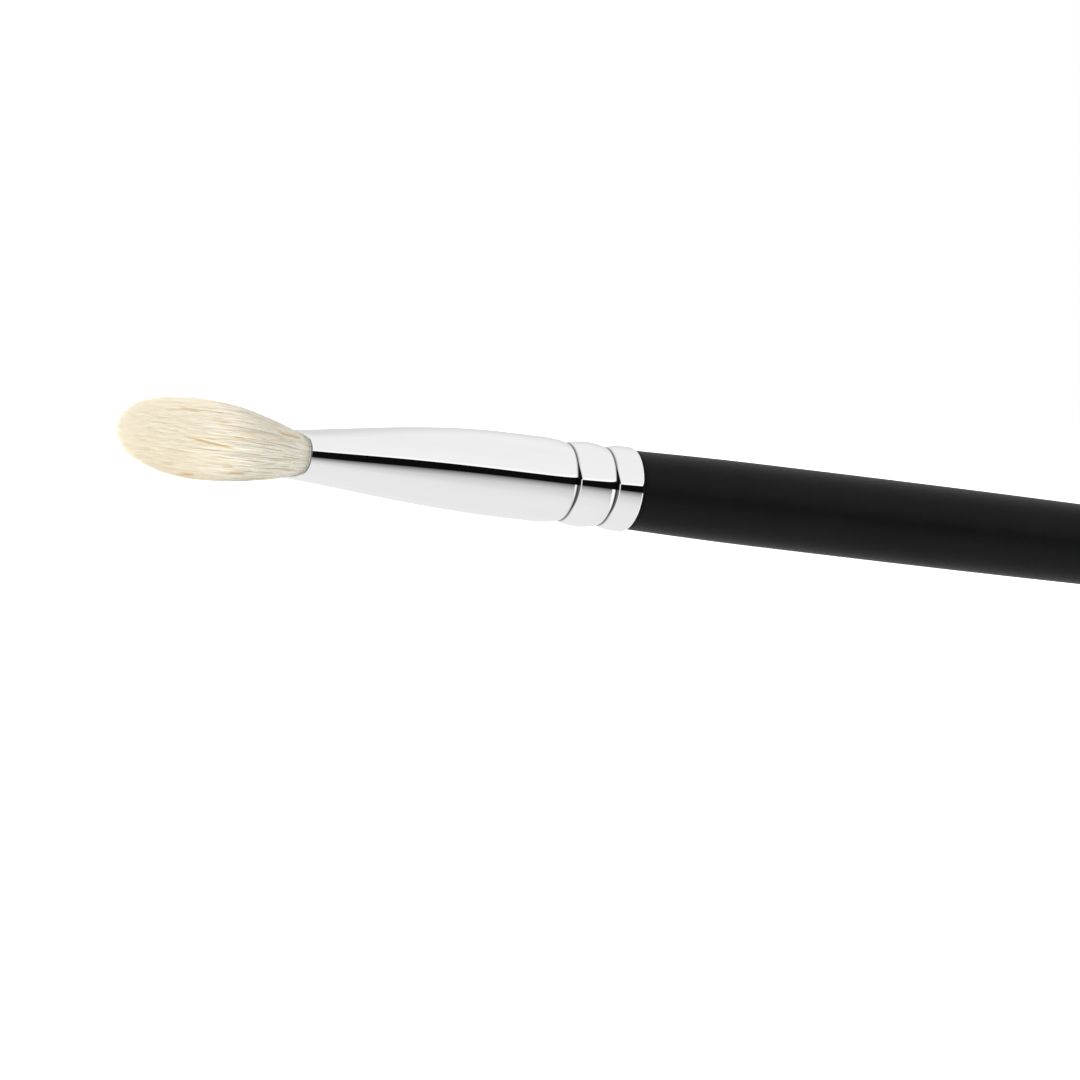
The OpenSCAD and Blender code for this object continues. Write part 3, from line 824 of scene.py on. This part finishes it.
def makeRoom():
    world = bpy.data.worlds.new("studio_room")
    bpy.context.scene.world = world
    world.use_nodes = True
    world.cycles.sampling_method = "NONE"
    tree = world.node_tree
    direction = tree.nodes.new("ShaderNodeTexCoord").outputs["Generated"]
    axes = addNode(tree, "ShaderNodeSeparateXYZ", {"Vector": direction}).outputs
    rise = rangeNode(tree, axes["Z"], -1.0, 1.0, 0.0, 1.0)

    def grey(value):
        return (value, value, value)

    def place(z):
        return (z + 1) / 2

    def within(value, low, high, soft):
        over = rangeNode(tree, calc(tree, "SUBTRACT", value, low), -soft, soft, 0.0, 1.0, "SMOOTHSTEP")
        under = rangeNode(tree, calc(tree, "SUBTRACT", value, high), -soft, soft, 1.0, 0.0, "SMOOTHSTEP")
        return calc(tree, "MULTIPLY", over, under)

    # What polished metal mirrors, from below to above: white board, its shade, a dark gap and the light tent
    gapBottom, gapTop = studio["gapBottom"], studio["gapTop"]
    mirrored = rampNode(tree, rise, [
        (place(-1.0), grey(0.84)), (place(-0.60), grey(0.80)), (place(-0.30), grey(0.62)),
        (place(-0.14), grey(0.34)), (place(gapBottom - 0.006), grey(0.13)), (place(gapBottom), grey(0.004)),
        (place(gapTop - 0.002), grey(0.004)), (place(gapTop + 0.002), grey(1.15)), (place(0.27), grey(1.0)),
        (place(0.34), grey(0.90)), (place(1.0), grey(0.88))])
    # Beside the camera stand a lit edge and a dark card towards the hair, and a white board towards the tail
    mirrored = mixColours(tree, within(axes["X"], -0.19, -0.13, 0.012), mirrored, grey(0.88))
    cardShade = rampNode(tree, rise, [
        (place(-0.90), grey(0.22)), (place(-0.10), grey(0.15)), (place(-0.04), grey(0.006)),
        (place(0.5), grey(0.012))])
    cardEdge = calc(tree, "MINIMUM", rangeNode(tree, axes["Z"], 0.20, 0.26, -0.19, -0.12),
                    rangeNode(tree, axes["Z"], 0.26, 0.90, -0.12, -0.32))
    cardWidth, cardHeight = within(axes["X"], -0.90, cardEdge, 0.03), within(axes["Z"], -0.97, 0.90, 0.08)
    card = calc(tree, "MULTIPLY", cardWidth, cardHeight)
    mirrored = mixColours(tree, card, mirrored, cardShade)
    gap = within(axes["Z"], gapBottom, gapTop, 0.02)
    boardEdge = rangeNode(tree, axes["Z"], gapBottom, gapTop, 0.82, 0.89)
    board = calc(tree, "MULTIPLY", within(axes["X"], boardEdge, 2.0, 0.03), calc(tree, "SUBTRACT", 1.0, gap))
    mirrored = mixColours(tree, board, mirrored, grey(1.12))
    # Behind the brush is a grey wall, and far to the side of the hair a darker card
    wall = rampNode(tree, rise, [
        (place(-0.3), grey(0.84)), (place(-0.01), grey(0.88)), (place(0.01), grey(0.68)),
        (place(0.35), grey(0.72)), (place(0.8), grey(0.87))])
    mirrored = mixColours(tree, within(axes["Y"], 0.5, 2.0, 0.3), mirrored, wall)
    sideWidth, sideHeight = within(axes["X"], -0.96, -0.52, 0.02), within(axes["Z"], -0.98, 0.95, 0.05)
    mirrored = mixColours(tree, calc(tree, "MULTIPLY", sideWidth, sideHeight), mirrored, grey(0.2))
    rays = tree.nodes.new("ShaderNodeLightPath").outputs
    fromAbove = rangeNode(tree, axes["Z"], -1.0, 1.0, studio["lightBelow"], studio["lightAbove"])
    light = calc(tree, "ADD", fromAbove, rangeNode(tree, axes["X"], -1.0, 0.2, studio["lightAtHair"], 0.0))
    soft = addNode(tree, "ShaderNodeCombineColor", {"Red": light, "Green": light, "Blue": light}).outputs[0]
    colour = mixColours(tree, rays["Is Glossy Ray"], soft, mirrored)
    colour = mixColours(tree, rays["Is Camera Ray"], colour, grey(1.0))
    plug(tree, colour, tree.nodes["Background"].inputs["Color"])


makeFloor()
makeRoom()

portrait = {
    "frameSide": 1080.0, "pixelsPerMm": 10.66,
    "ferruleEndPixel": (627.2, 489.6),          # where the axis meets the ferrule's rear edge
    "turn": 25.0,                               # degrees that the brush points away from the picture plane
    "elevation": 0.5, "roll": 7.06,
    "distance": 3000.0, "clip": (0.05, 50.0),   # clip is in metres
}


def makeCamera():
    data = bpy.data.cameras.new("portrait")
    camera = bpy.data.objects.new("portrait", data)
    bpy.context.scene.collection.objects.link(camera)
    bpy.context.scene.camera = camera
    turn, tilt, roll = (math.radians(portrait[key]) for key in ("turn", "elevation", "roll"))
    ahead = Vector((math.sin(turn) * math.cos(tilt), math.cos(turn) * math.cos(tilt), -math.sin(tilt)))
    level = Vector((math.cos(turn), -math.sin(turn), 0))
    upright = level.cross(ahead)
    right = level * math.cos(roll) + upright * math.sin(roll)
    up = upright * math.cos(roll) - level * math.sin(roll)
    middle = portrait["frameSide"] / 2
    column, row = portrait["ferruleEndPixel"]
    ferruleEnd = Vector((mouthX + ferruleLength, 0, axisHeight))
    target = ferruleEnd - (right * (column - middle) - up * (row - middle)) / portrait["pixelsPerMm"]
    camera.rotation_mode = "QUATERNION"
    camera.rotation_quaternion = Matrix((right, up, -ahead)).transposed().to_quaternion()
    camera.location = (target - ahead * portrait["distance"]) * mm
    frameWidth = portrait["frameSide"] / portrait["pixelsPerMm"]
    data.lens = data.sensor_width * portrait["distance"] / frameWidth
    data.clip_start, data.clip_end = portrait["clip"]
    return camera


makeCamera()
bpy.context.scene.view_settings.view_transform = "Standard"
print("studio made")
